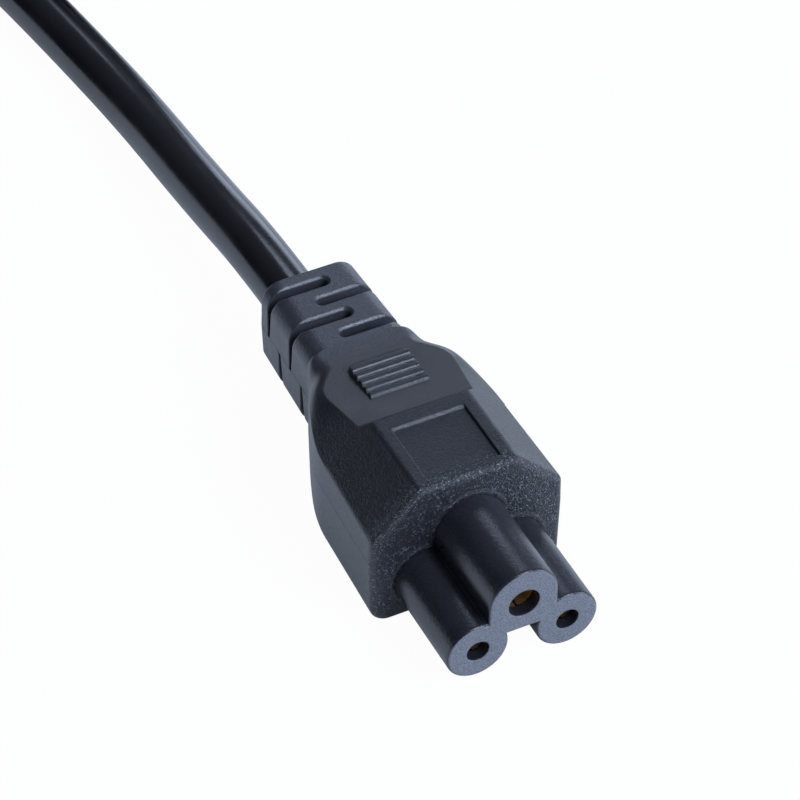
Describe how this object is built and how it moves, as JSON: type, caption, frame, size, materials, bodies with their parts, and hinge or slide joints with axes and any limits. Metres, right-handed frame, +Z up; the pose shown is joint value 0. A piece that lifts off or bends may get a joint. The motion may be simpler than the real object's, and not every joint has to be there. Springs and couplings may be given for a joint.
{
  "type": "cloverleaf power cord",
  "caption": "Black mains lead with a moulded cloverleaf appliance connector, slotted strain relief, ribbed thumb grip and a strapped hank of round cord ending in a bladed plug.",
  "frame": {"origin": "under the middle of the connector, on the surface that the lead lies on", "axes": "+Y along the connector from its nose to its cord, +X to the right seen from behind the cord, +Z up"},
  "size_m": [0.0578, 0.2959, 0.026],
  "materials": {
    "housing_pvc": "satin, spark-textured faces",
    "carrier_plastic": "satin",
    "contact_brass": "bare",
    "blade_brass": "nickel plated",
    "line_core": "satin",
    "neutral_core": "satin",
    "earth_core": "satin",
    "cord_pvc": "satin",
    "strap_fabric": "woven"
  },
  "bodies": {
    "root": {"connector_body": "housing_pvc", "contact_carrier": "carrier_plastic", "line_contact": "contact_brass", "neutral_contact": "contact_brass", "earth_contact": "contact_brass", "connector_line_core": "line_core", "connector_neutral_core": "neutral_core", "connector_earth_core": "earth_core", "cord_run": "cord_pvc", "cord_hank": "cord_pvc", "cord_tail": "cord_pvc", "hank_strap_left": "strap_fabric", "hank_strap_right": "strap_fabric", "plug_body": "housing_pvc", "plug_face": "carrier_plastic", "plug_line_blade": "blade_brass", "plug_neutral_blade": "blade_brass", "plug_earth_pin": "blade_brass", "plug_line_core": "line_core", "plug_neutral_core": "neutral_core", "plug_earth_core": "earth_core"}
  },
  "joints": []
}
